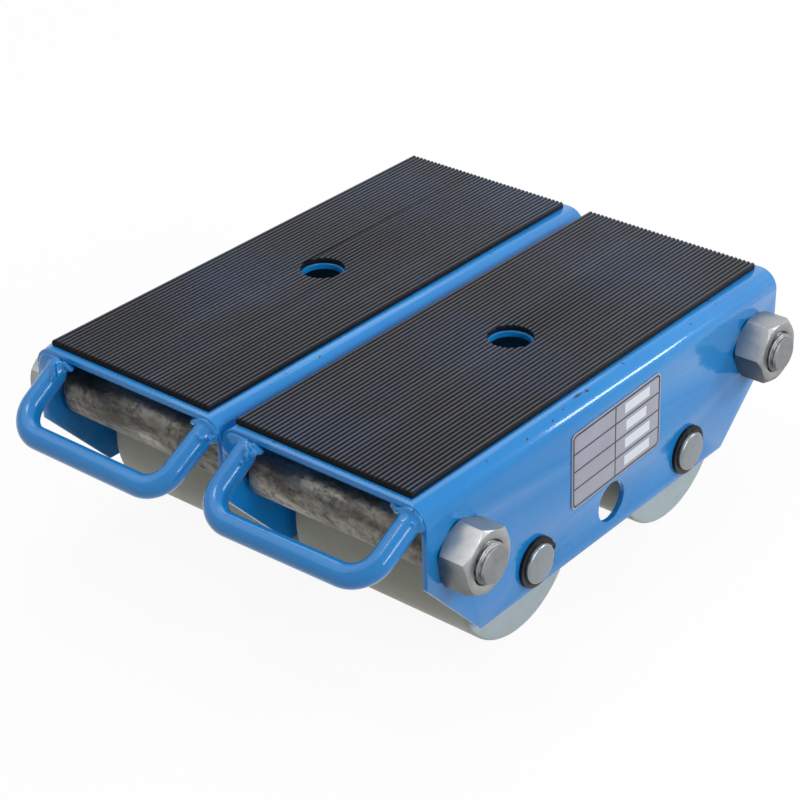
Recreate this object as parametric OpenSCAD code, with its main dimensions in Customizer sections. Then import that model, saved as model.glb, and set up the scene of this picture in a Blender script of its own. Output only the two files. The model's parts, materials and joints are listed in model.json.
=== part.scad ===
// Machine skate: two steel channel frames, bolted side by side, that ride on four wide
// nylon rollers and carry a load on ribbed rubber pads.
// Millimetres. +Z is up and the skate rolls along Y, with its carrying handles at -Y.
// The origin is on the floor, under the centre of the whole skate.

/* [Load pads] */
// Width of one rubber pad, across the ribs
pad_w = 101.7; // [80:0.1:105]
// Distance from a pad's ends to the ends of its frame
pad_end_gap = 4; // [3:0.1:30]
// Thickness of the pad, over its ribs
pad_t = 3; // [2:0.1:6]
// Number of ribs on one pad
pad_ribs = 41; // [21:2:51]
// Height of a rib over the pad's solid back
rib_h = 1.2; // [0.4:0.1:1.6]
// Width of a rib at its flat crest
rib_crest = 1.1; // [0.6:0.1:1.4]
// Hole through the pad, over the pin hole in the deck
pad_hole_d = 22.6; // [21.5:0.1:40]
// Distance of the pad's centre from the middle of its frame, across the skate
pad_shift = -2.7; // [-5:0.1:5]

/* [Channel frames] */
// Outside width of the right channel frame
frame_w = 118.6; // [112:0.1:150]
// How much wider the left frame is folded than the right one
left_extra = 2.9; // [0:0.1:3.2]
// Length of a frame
frame_l = 281; // [275:1:340]
// Thickness of the frame's steel plate
plate_t = 3; // [2.5:0.1:6]
// Outside radius of the two long folds
fold_r = 10; // [7:0.5:11]
// Height of the frame's top face over the roller axles
deck_over_axle = 66.5; // [62:0.5:90]
// Height over the axles at which the ends of the side plates start to slope in
shoulder_over_axle = 25.9; // [10:0.1:28]
// Depth of the side plates' bottom edge below the axles
skirt_under_axle = 14.7; // [12.5:0.1:25]
// Distance from the frame's front end back to the start of the bottom edge
skirt_front_gap = 37.6; // [30:0.1:50]
// Distance from the frame's rear end forward to the end of the bottom edge
skirt_rear_gap = 45.4; // [30:0.1:55]
// Radius of the side plates' corners
corner_r = 2; // [1:0.5:8]
// Gap between the two frames
frame_gap = 0; // [0:0.1:3]

/* [Holes in the frames] */
// Pin hole in the deck, under the hole in the pad
pin_hole_d = 21; // [12:0.1:21]
// Spare hole in each side plate
side_hole_d = 20.8; // [8:0.1:22]
// Place of the spare hole, along the frame from its middle
side_hole_y = -2; // [-8:0.5:8]
// Height of the spare hole over the axles
side_hole_over_axle = 1.8; // [0:0.1:6]

/* [Rollers] */
// Diameter of a roller
roller_d = 85; // [70:1:110]
// Gap between a roller's ends and the side plates
roller_side_gap = 6.1; // [4.3:0.1:15]
// Rounding of a roller's edges
roller_edge_r = 1.5; // [0.5:0.1:6]
// Distance from each axle to the nearer end of the frame
axle_end_gap = 78.1; // [75:0.1:84]

/* [Axles and clips] */
// Diameter of the roller axles
axle_d = 20; // [16:0.5:20]
// Clearance all round an axle in the side plates
axle_clear = 0.1; // [0.05:0.05:0.3]
// Length of an axle that stands out of the side plate
axle_end = 4.1; // [3.8:0.1:8]
// Chamfer on an axle's ends
axle_chamfer = 1.6; // [0.2:0.1:1.8]
// Thickness of a retaining clip
clip_t = 1.75; // [1:0.05:2]
// Outside diameter of a retaining clip
clip_d = 25.4; // [23:0.1:27]
// Depth of the clip's groove in the axle
clip_groove = 0.75; // [0.4:0.05:1.2]

/* [Bearings] */
// Outside diameter of a ball bearing
bearing_d = 47; // [44:0.5:52]
// Width of a ball bearing
bearing_w = 14; // [12:0.5:18]
// Clearance between a bearing and the seats that hold it
seat_clear = 0.02; // [0.01:0.01:0.05]
// Diameter of a ball
ball_d = 7.9; // [6:0.1:8]
// Number of balls in a bearing
ball_count = 8; // [6:1:9]
// Clearance of the balls in their tracks
ball_clear = 0.05; // [0.02:0.01:0.1]
// Depth of the ball tracks in the rings
track_depth = 1.5; // [0.8:0.1:1.8]
// Thickness of the cage that keeps the balls apart
cage_t = 1.4; // [0.8:0.1:2]
// Thickness of a bearing's seal
seal_t = 0.9; // [0.5:0.1:1]
// Wall of the sleeve between the two bearings of a roller
sleeve_wall = 3; // [1.5:0.1:4]
// Wall of the washers between the bearings and the side plates
washer_wall = 4; // [2:0.1:6]

/* [Tie rods] */
// Diameter of the threaded tie rods
rod_d = 20; // [12:0.5:22]
// Pitch of their thread
thread_pitch = 2.5; // [1.5:0.25:3]
// Length of the thread on each end
thread_l = 35; // [28:0.5:48]
// Clearance all round a tie rod in the plates and pipes
rod_clear = 0.5; // [0.2:0.1:1]
// Distance of the tie rods from the ends of the frame
rod_end_gap = 22.4; // [17:0.1:28]
// Height of the tie rods over the axles
rod_over_axle = 35.9; // [32:0.1:40]
// Length of a tie rod that stands out of its nut
rod_proud = 3.6; // [0.5:0.1:8]
// Width of a nut across its flats
nut_af = 30; // [28:0.5:34]
// Height of a nut
nut_h = 16; // [10:0.5:20]
// Clearance between a nut and the crests of the rod's thread
nut_clear = 0.05; // [0.02:0.01:0.1]
// Outside diameter of the spacer pipes
pipe_d = 27.8; // [25:0.1:32]
// Length by which a spacer pipe is short of filling the frame
pipe_short = 4; // [1:0.5:12]

/* [Handles] */
// Diameter of a handle's round bar
bar_d = 11.5; // [8:0.5:14]
// Distance that a handle stands out past the front of its frame
handle_reach = 33.4; // [26:0.1:80]
// Depth of the handle's cross bar below the deck
handle_drop = 27.2; // [20:0.1:36]
// Depth of the legs below the deck where they meet the frame
leg_drop = 8.5; // [7:0.1:10]
// Distance from the sides of the frame to the middle of a handle's legs
handle_inset = 11.3; // [10:0.1:20]
// Radius of the handle's bends, at the middle of the bar
handle_bend_r = 15; // [9:0.5:20]
// Diameter of a lump of weld
weld_d = 6; // [3:0.5:7]

/* [Rating plate] */
// Length of the blank rating plate
label_l = 72; // [40:1:80]
// Height of the rating plate
label_h = 41; // [20:1:44]
// Thickness of the rating plate
label_t = 0.6; // [0.3:0.1:2]
// Radius of its corners
label_r = 3; // [1:0.5:6]
// Depth of the rating plate's centre below the deck
label_drop = 31.8; // [30:0.1:36]

/* [Hidden] */
$fn = 96;
fit_gap = 0.1;

axle_h = roller_d / 2;
deck_h = axle_h + deck_over_axle;
shoulder_h = axle_h + shoulder_over_axle;
skirt_h = axle_h - skirt_under_axle;
rod_h = axle_h + rod_over_axle;
// The handles reach out at -Y only, so the frames sit this far off the centre
frame_y = handle_reach / 2;
bay_w = frame_w - 2 * plate_t;
pad_l = frame_l - 2 * pad_end_gap;
skirt_front = frame_l / 2 - skirt_front_gap;
skirt_rear = frame_l / 2 - skirt_rear_gap;
skate_w = 2 * frame_w + frame_gap;

roller_l = bay_w - 2 * roller_side_gap;
axle_base = frame_l - 2 * axle_end_gap;
axle_l = skate_w + 2 * axle_end;
clip_slot = clip_t + fit_gap;
rod_offset = frame_l / 2 - rod_end_gap;
rod_l = skate_w + 2 * (nut_h + rod_proud);
thread_depth = 0.6 * thread_pitch;

// Bearing: its balls run midway between the axle and the roller's seat
ring_in_r = axle_d / 2 + seat_clear;
ring_out_r = bearing_d / 2;
ball_pitch_r = (ring_in_r + ring_out_r) / 2;
inner_land_r = ball_pitch_r - ball_d / 2 - ball_clear + track_depth;
outer_land_r = ball_pitch_r + ball_d / 2 + ball_clear - track_depth;
seal_seat_r = outer_land_r + 1;
seal_slot = 1.5 * seal_t;
bearing_x = (roller_l - bearing_w) / 2;

// Handle: its legs lean down from the frame's front face to the cross bar
handle_w = frame_w - 2 * handle_inset;
bar_out = handle_reach - bar_d / 2;
leg_fall = handle_drop - leg_drop;
handle_slope = atan2(leg_fall, bar_out);
leg_run = norm([bar_out, leg_fall]);

paint = [0.27, 0.53, 0.80];
steel = [0.66, 0.67, 0.68];
dull_steel = [0.50, 0.49, 0.46];
black = [0.06, 0.06, 0.07];
nylon = [0.86, 0.86, 0.80];

// side is -1 for the left frame and 1 for the right one; end is -1 at the front and 1 at the rear

// What the left frame has more than the right one in width
function extra_w(side) = side < 0 ? left_extra : 0;
function width_of(side) = frame_w + extra_w(side);
// Across the skate, the middle of a frame and the outer face of its outer side plate
function middle_x(side) = side * (width_of(side) + frame_gap) / 2;
function face_x(side) = side * (skate_w / 2 + extra_w(side));

// Moves a piece to the middle of one frame, at floor level
module in_frame(side) {
    translate([middle_x(side), frame_y, 0]) children();
}

// Moves a piece to the middle of the whole pair of frames
module in_skate() {
    translate([0, frame_y, 0]) children();
}

// Moves a piece to one roller's centre
module at_roller(side, end) {
    in_frame(side) translate([0, end * axle_base / 2, axle_h]) children();
}

// Turns a piece made along Z so that it lies along X
module along_x() {
    rotate([0, 90, 0]) children();
}

// Extrudes an outline drawn in X and Z along the frame, centred on its middle
module along_frame(length) {
    translate([0, length / 2, 0]) rotate([90, 0, 0]) linear_extrude(length) children();
}

// Points of a rounded corner at b, between the neighbours a and c
function corner(a, b, c, r, steps = 8) =
    let (
        u = (a - b) / norm(a - b),
        v = (c - b) / norm(c - b),
        half = acos(u * v) / 2,
        centre = b + (u + v) / norm(u + v) * r / sin(half),
        start = b + u * r / tan(half) - centre,
        stop = b + v * r / tan(half) - centre,
        from = atan2(start.y, start.x),
        turn = atan2(stop.y, stop.x) - from,
        sweep = turn > 180 ? turn - 360 : turn < -180 ? turn + 360 : turn
    )
    [for (i = [0 : steps]) centre + r * [cos(from + sweep * i / steps), sin(from + sweep * i / steps)]];

// A rectangle with round corners, centred on the origin
module rounded_rect(length, height, r) {
    square([length - 2 * r, height], center = true);
    square([length, height - 2 * r], center = true);
    for (x = [-1, 1], y = [-1, 1])
        translate([x * (length / 2 - r), y * (height / 2 - r)]) circle(r);
}

// ---- Channel frames

// A channel's outline with two round upper corners, from the floor up
module channel_outline(width, height, r) {
    translate([-width / 2, 0]) square([width, height - r]);
    translate([-width / 2 + r, 0]) square([width - 2 * r, height]);
    for (x = [-1, 1]) translate([x * (width / 2 - r), height - r]) circle(r);
}

// The folded plate, before its ends are cut to shape
module folded_plate(side) {
    w = width_of(side);
    along_frame(frame_l) difference() {
        channel_outline(w, deck_h, fold_r);
        translate([0, -1])
            channel_outline(w - 2 * plate_t, deck_h - plate_t + 1, fold_r - plate_t);
    }
}

// The side plates' shape, seen from the side
module side_outline() {
    ft = [-frame_l / 2, deck_h + 1];
    fs = [-frame_l / 2, shoulder_h];
    fb = [-skirt_front, skirt_h];
    rb = [skirt_rear, skirt_h];
    rs = [frame_l / 2, shoulder_h];
    rt = [frame_l / 2, deck_h + 1];
    polygon(concat(
        [ft], corner(ft, fs, fb, corner_r), corner(fs, fb, rb, corner_r),
        corner(fb, rb, rs, corner_r), corner(rb, rs, rt, corner_r), [rt]
    ));
}

module side_drill(y, h, d) {
    translate([0, y, h]) along_x() cylinder(d = d, h = frame_w + left_extra + 2, center = true);
}

module frame(side) {
    color(paint) in_frame(side) difference() {
        intersection() {
            folded_plate(side);
            rotate([90, 0, 90])
                linear_extrude(width_of(side) + 2, center = true) side_outline();
        }
        for (end = [-1, 1]) {
            side_drill(end * axle_base / 2, axle_h, axle_d + 2 * axle_clear);
            side_drill(end * rod_offset, rod_h, rod_d + 2 * rod_clear);
        }
        side_drill(side_hole_y, axle_h + side_hole_over_axle, side_hole_d);
        translate([pad_shift + extra_w(side) / 2, 0, deck_h - plate_t - 1])
            cylinder(d = pin_hole_d, h = plate_t + 2);
    }
}

// ---- Load pads

// The pad's end: a solid back with flat-topped ribs
module pad_outline(width, count) {
    pitch = width / count;
    back = pad_t - rib_h;
    foot = (pitch - rib_crest) / 2;
    ribs = [for (i = [0 : count - 1]) let (x = -width / 2 + i * pitch)
        each [[x, back], [x + foot, pad_t], [x + foot + rib_crest, pad_t]]];
    polygon(concat([[-width / 2, 0]], ribs, [[width / 2, back], [width / 2, 0]]));
}

// The left pad's outer edge stands out by half of what its frame has more
module pad(side) {
    more = extra_w(side) / 2;
    color(black) in_frame(side) translate([pad_shift + more, 0, deck_h]) difference() {
        translate([-more / 2, 0, 0]) along_frame(pad_l) pad_outline(pad_w + more, pad_ribs);
        translate([0, 0, -1]) cylinder(d = pad_hole_d, h = pad_t + 2);
    }
}

// ---- Handles

// One leg, from the cross bar's bend to beyond the frame's front face; x is 1 or -1
module handle_leg(x) {
    mirror([x < 0 ? 1 : 0, 0, 0]) {
        translate([handle_w / 2 - handle_bend_r, handle_bend_r, 0]) rotate([0, 0, -90])
            rotate_extrude(angle = 90) translate([handle_bend_r, 0]) circle(d = bar_d);
        translate([handle_w / 2, handle_bend_r, 0]) rotate([-90, 0, 0])
            cylinder(d = bar_d, h = leg_run + bar_d - handle_bend_r);
    }
}

// Moves the flat handle to its leaning place in front of a frame
module at_handle() {
    translate([0, -frame_l / 2 - bar_out, deck_h - handle_drop])
        rotate([handle_slope, 0, 0]) children();
}

module handle_bar() {
    at_handle() {
        along_x() cylinder(d = bar_d, h = handle_w - 2 * handle_bend_r, center = true);
        handle_leg(-1);
        handle_leg(1);
    }
}

// Everything behind the frame's front face
module behind_front() {
    translate([-frame_w, -frame_l / 2, 0]) cube([2 * frame_w, frame_l, deck_h + bar_d]);
}

module handle(side) {
    color(paint) in_frame(side) difference() {
        handle_bar();
        behind_front();
    }
}

// Lumps of weld along the seam between a leg and the frame's front edge
module weld_lumps() {
    seam_x = bar_d / 2 + 0.6;
    seam_z = bar_d / 2 / cos(handle_slope) + 0.6;
    for (x = [-1, 1], turn = [-60 : 30 : 180])
        translate([
            x * (handle_w / 2 + seam_x * cos(turn)),
            -frame_l / 2 - 0.6,
            deck_h - leg_drop + seam_z * sin(turn)
        ]) sphere(d = weld_d, $fn = 32);
}

module weld(side) {
    color(paint) in_frame(side) difference() {
        weld_lumps();
        folded_plate(side);
        at_handle() for (x = [-1, 1]) handle_leg(x);
    }
}

// ---- Rating plate, on the right frame's outer side

module rating_plate() {
    color(steel) in_frame(1) translate([frame_w / 2, 0, deck_h - label_drop])
        rotate([90, 0, 90]) linear_extrude(label_t) rounded_rect(label_l, label_h, label_r);
}

// ---- Axles and their retaining clips

module axle(end) {
    r = axle_d / 2;
    half = axle_l / 2;
    left = half + left_extra;
    color(steel) in_skate() translate([0, end * axle_base / 2, axle_h]) along_x() difference() {
        rotate_extrude() polygon([
            [0, -left], [r - axle_chamfer, -left], [r, -left + axle_chamfer],
            [r, half - axle_chamfer], [r - axle_chamfer, half], [0, half]
        ]);
        for (side = [-1, 1]) translate([0, 0, face_x(side) + side * clip_slot / 2])
            clip_groove_ring(clip_slot);
    }
}

module clip_groove_ring(width) {
    difference() {
        cylinder(d = axle_d + 2, h = width, center = true);
        cylinder(d = axle_d - 2 * clip_groove, h = width + 1, center = true);
    }
}

// An open ring with two eared ends; turn is where its opening points
module clip_outline(turn) {
    bore_r = axle_d / 2 - clip_groove + seat_clear;
    ear_r = 2.2;
    ear_at = clip_d / 2 - 1.3;
    rotate(turn) difference() {
        union() {
            circle(d = clip_d);
            for (a = [-18, 18]) rotate(a) translate([ear_at, 0]) circle(ear_r);
        }
        circle(bore_r);
        translate([bore_r * 0.7, -1.6]) square([clip_d, 3.2]);
        for (a = [-18, 18]) rotate(a) translate([ear_at, 0]) circle(0.9);
    }
}

module clip(side, end, turn) {
    color(black) in_skate()
        translate([face_x(side) + side * clip_t / 2, end * axle_base / 2, axle_h])
            rotate([90, 0, 90]) linear_extrude(clip_t, center = true) clip_outline(turn);
}

// ---- Tie rods, nuts and spacer pipes

// Half of a tie rod's outline, from its end inwards, with its thread as rings
function thread_points(end_x, r) = [
    for (i = [0 : floor(thread_l / thread_pitch) - 1])
        each [
            [r - thread_depth, end_x + (i + 0.1) * thread_pitch],
            [r, end_x + (i + 0.45) * thread_pitch],
            [r, end_x + (i + 0.65) * thread_pitch]
        ]
];

function mirrored(points) = [for (i = [len(points) - 1 : -1 : 0]) [points[i].x, -points[i].y]];

module rod(end) {
    r = rod_d / 2;
    half = rod_l / 2;
    core = r - thread_depth;
    thread = thread_points(-half, r);
    left = concat([[0, -half], [core, -half]], thread, [[core, -half + thread_l]]);
    color(steel) in_skate() translate([0, end * rod_offset, rod_h]) along_x()
        rotate_extrude() polygon(concat(left, mirrored(left)));
}

// A hexagon with its corners turned off on both faces
module nut_body() {
    corner_d = nut_af / cos(30);
    bevel = (corner_d - nut_af) / 2;
    difference() {
        intersection() {
            cylinder(d = corner_d, h = nut_h, $fn = 6);
            rotate_extrude() polygon([
                [0, 0], [nut_af / 2, 0], [corner_d / 2 + 0.1, bevel * 0.8],
                [corner_d / 2 + 0.1, nut_h - bevel * 0.8], [nut_af / 2, nut_h], [0, nut_h]
            ]);
        }
        translate([0, 0, -1]) cylinder(r = rod_d / 2 + nut_clear, h = nut_h + 2);
        for (z = [0, nut_h]) translate([0, 0, z]) mirror([0, 0, z > 0 ? 1 : 0])
            translate([0, 0, -0.01]) cylinder(r1 = rod_d / 2 + 1, r2 = rod_d / 2, h = 1);
    }
}

module nut(side, end, turn) {
    color(steel) in_skate() translate([face_x(side), end * rod_offset, rod_h])
        rotate([90, 0, side * 90]) rotate(turn) nut_body();
}

// A pipe on the tie rod that stands against the frame's right-hand side plate
module pipe(side, end) {
    length = bay_w + extra_w(side) - pipe_short;
    color(dull_steel) in_frame(side)
        translate([pipe_short / 2, end * rod_offset, rod_h]) along_x() difference() {
            cylinder(d = pipe_d, h = length, center = true);
            cylinder(d = rod_d + 2 * rod_clear, h = length + 1, center = true);
        }
}

// ---- Rollers and their bearings

module roller(side, end) {
    r = roller_d / 2;
    half = roller_l / 2;
    seat_r = ring_out_r + seat_clear;
    step_r = outer_land_r;
    inside = half - bearing_w;
    edge_in = corner([seat_r, -half], [r, -half], [r, 0], roller_edge_r);
    color(nylon) at_roller(side, end) along_x() rotate_extrude() polygon(concat(
        [[seat_r, -half]], edge_in, mirrored(edge_in),
        [[seat_r, half], [seat_r, inside], [step_r, inside], [step_r, -inside], [seat_r, -inside]]
    ));
}

// Places a bearing piece, made about Z, in both ends of a roller
module both_bearings(side, end) {
    at_roller(side, end) for (x = [-1, 1]) translate([x * bearing_x, 0, 0]) along_x() children();
}

// The round track that the balls leave in a ring's outline
module ball_track() {
    translate([ball_pitch_r, 0]) circle(ball_d / 2 + ball_clear);
}

module outer_rings(side, end) {
    half = bearing_w / 2;
    color(steel) both_bearings(side, end) rotate_extrude() difference() {
        translate([outer_land_r, -half]) square([ring_out_r - outer_land_r, bearing_w]);
        ball_track();
        for (y = [-half - 1, half - seal_slot])
            translate([0, y]) square([seal_seat_r, seal_slot + 1]);
    }
}

module inner_rings(side, end) {
    color(steel) both_bearings(side, end) rotate_extrude() difference() {
        translate([ring_in_r, -bearing_w / 2]) square([inner_land_r - ring_in_r, bearing_w]);
        ball_track();
    }
}

module seals(side, end) {
    color(black) both_bearings(side, end) for (z = [-1, 1])
        translate([0, 0, z * (bearing_w / 2 - seal_slot + seal_t / 2)]) difference() {
            cylinder(r = seal_seat_r - seat_clear, h = seal_t, center = true);
            cylinder(r = inner_land_r + fit_gap, h = seal_t + 1, center = true);
        }
}

// Puts one copy at each ball's place round the pitch circle
module at_balls() {
    for (i = [0 : ball_count - 1])
        rotate(i * 360 / ball_count) translate([ball_pitch_r, 0, 0]) children();
}

module balls(side, end) {
    color(steel) both_bearings(side, end) at_balls() sphere(d = ball_d, $fn = 32);
}

// The ring that keeps the balls apart, with a round pocket for each
module cages(side, end) {
    cage_w = min(ball_d + 2, bearing_w - 2 * seal_slot - 0.4);
    color(dull_steel) both_bearings(side, end) difference() {
        cylinder(r = ball_pitch_r + cage_t / 2, h = cage_w, center = true);
        cylinder(r = ball_pitch_r - cage_t / 2, h = cage_w + 1, center = true);
        at_balls() along_x() cylinder(d = ball_d + 2 * fit_gap, h = 4 * cage_t, center = true);
    }
}

// A tube round the axle, resting on both inner rings
module sleeve(side, end) {
    color(dull_steel) at_roller(side, end) along_x() difference() {
        cylinder(r = ring_in_r + sleeve_wall, h = roller_l - 2 * bearing_w, center = true);
        cylinder(r = ring_in_r, h = roller_l, center = true);
    }
}

// Washers round the axle, between the inner rings and the side plates
module washers(side, end) {
    washer_l = roller_side_gap + extra_w(side) / 2;
    color(steel) at_roller(side, end) for (x = [-1, 1])
        translate([x * (roller_l + washer_l) / 2, 0, 0]) along_x() difference() {
            cylinder(r = ring_in_r + washer_wall, h = washer_l, center = true);
            cylinder(r = ring_in_r, h = washer_l + 1, center = true);
        }
}

frame(-1);  // frame_left
frame(1);  // frame_right
pad(-1);  // pad_left
pad(1);  // pad_right
handle(-1);  // handle_left
handle(1);  // handle_right
weld(-1);  // weld_left
weld(1);  // weld_right
rating_plate();
axle(-1);  // axle_front
axle(1);  // axle_rear
clip(-1, -1, 120);  // clip_front_left
clip(1, -1, -5);  // clip_front_right
clip(-1, 1, 60);  // clip_rear_left
clip(1, 1, -40);  // clip_rear_right
rod(-1);  // rod_front
rod(1);  // rod_rear
nut(-1, -1, -30);  // nut_front_left
nut(1, -1, -20);  // nut_front_right
nut(-1, 1, 25);  // nut_rear_left
nut(1, 1, -3);  // nut_rear_right
pipe(-1, -1);  // pipe_front_left
pipe(1, -1);  // pipe_front_right
pipe(-1, 1);  // pipe_rear_left
pipe(1, 1);  // pipe_rear_right
roller(-1, -1);  // roller_front_left
roller(1, -1);  // roller_front_right
roller(-1, 1);  // roller_rear_left
roller(1, 1);  // roller_rear_right
outer_rings(-1, -1);  // outer_rings_front_left
outer_rings(1, -1);  // outer_rings_front_right
outer_rings(-1, 1);  // outer_rings_rear_left
outer_rings(1, 1);  // outer_rings_rear_right
seals(-1, -1);  // seals_front_left
seals(1, -1);  // seals_front_right
seals(-1, 1);  // seals_rear_left
seals(1, 1);  // seals_rear_right
balls(-1, -1);  // balls_front_left
balls(1, -1);  // balls_front_right
balls(-1, 1);  // balls_rear_left
balls(1, 1);  // balls_rear_right
cages(-1, -1);  // cages_front_left
cages(1, -1);  // cages_front_right
cages(-1, 1);  // cages_rear_left
cages(1, 1);  // cages_rear_right
inner_rings(-1, -1);  // inner_rings_front_left
inner_rings(1, -1);  // inner_rings_front_right
inner_rings(-1, 1);  // inner_rings_rear_left
inner_rings(1, 1);  // inner_rings_rear_right
sleeve(-1, -1);  // sleeve_front_left
sleeve(1, -1);  // sleeve_front_right
sleeve(-1, 1);  // sleeve_rear_left
sleeve(1, 1);  // sleeve_rear_right
washers(-1, -1);  // washers_front_left
washers(1, -1);  // washers_front_right
washers(-1, 1);  // washers_rear_left
washers(1, 1);  // washers_rear_right
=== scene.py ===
# %% [markdown]
# # A machine skate
# A machine skate is a low steel truck that carries a heavy machine across a workshop floor.
# Two folded channels stand side by side on wide nylon rollers, with ribbed rubber on top.
# The CAD model gives every part its place and size. This lesson gives each one the surface of
# the real thing: glossy blue enamel, dusty rubber, zinc, mottled pipe and cast nylon.

# %% Load the CAD frame
import json
import math
import random

import bmesh
import bpy
from mathutils import Matrix, Quaternion, Vector, noise

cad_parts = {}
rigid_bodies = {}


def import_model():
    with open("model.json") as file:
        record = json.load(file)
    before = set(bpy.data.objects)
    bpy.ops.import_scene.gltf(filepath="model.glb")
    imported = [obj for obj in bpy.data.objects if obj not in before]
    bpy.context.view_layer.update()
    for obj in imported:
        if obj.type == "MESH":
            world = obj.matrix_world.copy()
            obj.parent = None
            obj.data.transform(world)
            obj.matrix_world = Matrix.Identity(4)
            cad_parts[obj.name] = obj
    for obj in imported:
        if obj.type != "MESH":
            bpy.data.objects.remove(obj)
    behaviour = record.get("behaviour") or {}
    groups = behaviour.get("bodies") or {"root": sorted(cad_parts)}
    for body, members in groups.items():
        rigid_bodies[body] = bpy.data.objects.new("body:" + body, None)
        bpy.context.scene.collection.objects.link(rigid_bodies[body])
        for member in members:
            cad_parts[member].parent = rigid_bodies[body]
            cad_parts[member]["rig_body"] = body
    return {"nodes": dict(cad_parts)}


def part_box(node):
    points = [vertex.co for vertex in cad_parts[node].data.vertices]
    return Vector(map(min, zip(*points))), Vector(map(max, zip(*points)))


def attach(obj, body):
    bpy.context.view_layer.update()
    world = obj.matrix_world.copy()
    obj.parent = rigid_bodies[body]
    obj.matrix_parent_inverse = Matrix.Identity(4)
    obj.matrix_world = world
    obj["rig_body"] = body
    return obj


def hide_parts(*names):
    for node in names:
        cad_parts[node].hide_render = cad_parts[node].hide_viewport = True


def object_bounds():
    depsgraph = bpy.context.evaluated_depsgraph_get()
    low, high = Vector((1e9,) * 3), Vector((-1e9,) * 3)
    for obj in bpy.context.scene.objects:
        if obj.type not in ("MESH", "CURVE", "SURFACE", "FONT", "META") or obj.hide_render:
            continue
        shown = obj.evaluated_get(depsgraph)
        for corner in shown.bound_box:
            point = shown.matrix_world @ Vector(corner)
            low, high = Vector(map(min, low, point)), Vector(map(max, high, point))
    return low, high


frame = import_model()
cad_low, cad_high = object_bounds()
nodes = frame["nodes"]

# %% [markdown]
# ## Sizes
# Everything is measured from the CAD nodes, so a piece made here always lands on its seat.
# Millimetres are easier to read than metres, so lengths are written as a number times MM.

# %% Measure the frame
MM = 0.001
TAU = 2 * math.pi
SIDES = ("left", "right")
ENDS = ("front", "rear")
CORNERS = tuple(f"{end}_{side}" for end in ENDS for side in SIDES)


def middle(node):
    low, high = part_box(node)
    return (low + high) / 2


frame_low, frame_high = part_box("frame_right")
deck_height = frame_high.z
front_face = frame_low.y
outer_face = frame_high.x
print(f"deck {deck_height / MM:.1f} mm up, outer face at {outer_face / MM:.1f} mm")

# %% [markdown]
# ## Camera
# The photograph looks down on the skate from its front right corner with a long lens, so the
# camera is placed by its bearing, height angle and distance from a point by the seam, level
# with the rubber. The small roll is the tilt of the real camera, and the offsets put the
# skate where it sits in the picture.

# %% Set the camera
AZIMUTH = math.radians(40.03)
ELEVATION = math.radians(30.04)
ROLL = math.radians(-1.13)
DISTANCE = 1089.2 * MM
RIGHTWARD = 6.7 * MM
UPWARD = 48.5 * MM
LENS_MM = 100.13
SENSOR_MM = 36
AIM_OFF_SEAM = -2.7 * MM

aim = Vector((frame_low.x + AIM_OFF_SEAM, middle("frame_right").y, cad_high.z))
back = Vector((
    math.sin(AZIMUTH) * math.cos(ELEVATION),
    -math.cos(AZIMUTH) * math.cos(ELEVATION),
    math.sin(ELEVATION),
))
level_right = Vector((math.cos(AZIMUTH), math.sin(AZIMUTH), 0))
level_up = back.cross(level_right)
right = level_right * math.cos(ROLL) + level_up * math.sin(ROLL)
up = level_up * math.cos(ROLL) - level_right * math.sin(ROLL)

camera_data = bpy.data.cameras.new("camera")
camera_data.lens = LENS_MM
camera_data.sensor_width = SENSOR_MM
camera = bpy.data.objects.new("camera", camera_data)
bpy.context.scene.collection.objects.link(camera)
camera.matrix_world = Matrix.Translation(
    aim + back * DISTANCE - right * RIGHTWARD - up * UPWARD
) @ Matrix((right, up, back)).transposed().to_4x4()
bpy.context.scene.camera = camera
print(f"camera at {[round(v, 3) for v in camera.matrix_world.translation]}")

# %% [markdown]
# ## Shader arithmetic
# A worn surface is mostly arithmetic on masks: dust times height, scratches minus edges.
# Wiring that by hand hides the idea, so a Wire wraps one node socket and lets Python's own
# operators add the Math nodes. The reflected forms let a number stand first, as in 1 - mask.

# %% Wrap sockets so that they can be added and multiplied


def plug(value, socket):
    """Connect a Wire to an input, or store a plain value in it."""
    if isinstance(value, Wire):
        socket.id_data.links.new(value.socket, socket)
    elif socket.type == "RGBA" and len(value) == 3:
        socket.default_value = (*value, 1)
    else:
        socket.default_value = value


class Wire:
    """One output socket, usable in Python arithmetic on numbers."""

    def __init__(self, socket):
        self.socket = socket

    def maths(self, operation, *values, clamp=False):
        node = self.socket.id_data.nodes.new("ShaderNodeMath")
        node.operation = operation
        node.use_clamp = clamp
        for value, socket in zip(values, node.inputs):
            plug(value, socket)
        return Wire(node.outputs[0])

    def __add__(self, other):
        return self.maths("ADD", self, other)

    def __sub__(self, other):
        return self.maths("SUBTRACT", self, other)

    def __rsub__(self, other):
        return self.maths("SUBTRACT", other, self)

    def __mul__(self, other):
        return self.maths("MULTIPLY", self, other)

    def __truediv__(self, other):
        return self.maths("DIVIDE", self, other)

    def __rtruediv__(self, other):
        return self.maths("DIVIDE", other, self)

    def __pow__(self, other):
        return self.maths("POWER", self, other)

    def __rpow__(self, other):
        return self.maths("POWER", other, self)

    def __abs__(self):
        return self.maths("ABSOLUTE", self)

    def above(self, limit):
        return self.maths("GREATER_THAN", self, limit)

    def below(self, limit):
        return self.maths("LESS_THAN", self, limit)

    def at_least(self, limit):
        return self.maths("MAXIMUM", self, limit)

    def clamped(self):
        return self.maths("ADD", self, 0.0, clamp=True)

    def step(self, low, high):
        """0 below low, 1 above high, and a straight slope between them."""
        return ((self - low) / (high - low)).clamped()

    __radd__ = __add__
    __rmul__ = __mul__


print("Wire operators:", [name for name in vars(Wire) if name.startswith("__r")])

# %% [markdown]
# Every other node comes from one method. It takes the node's type, its settings and its
# socket values, and gives one output back as a Wire. Materials and the world both need it,
# so it sits in a small class of its own.

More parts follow.
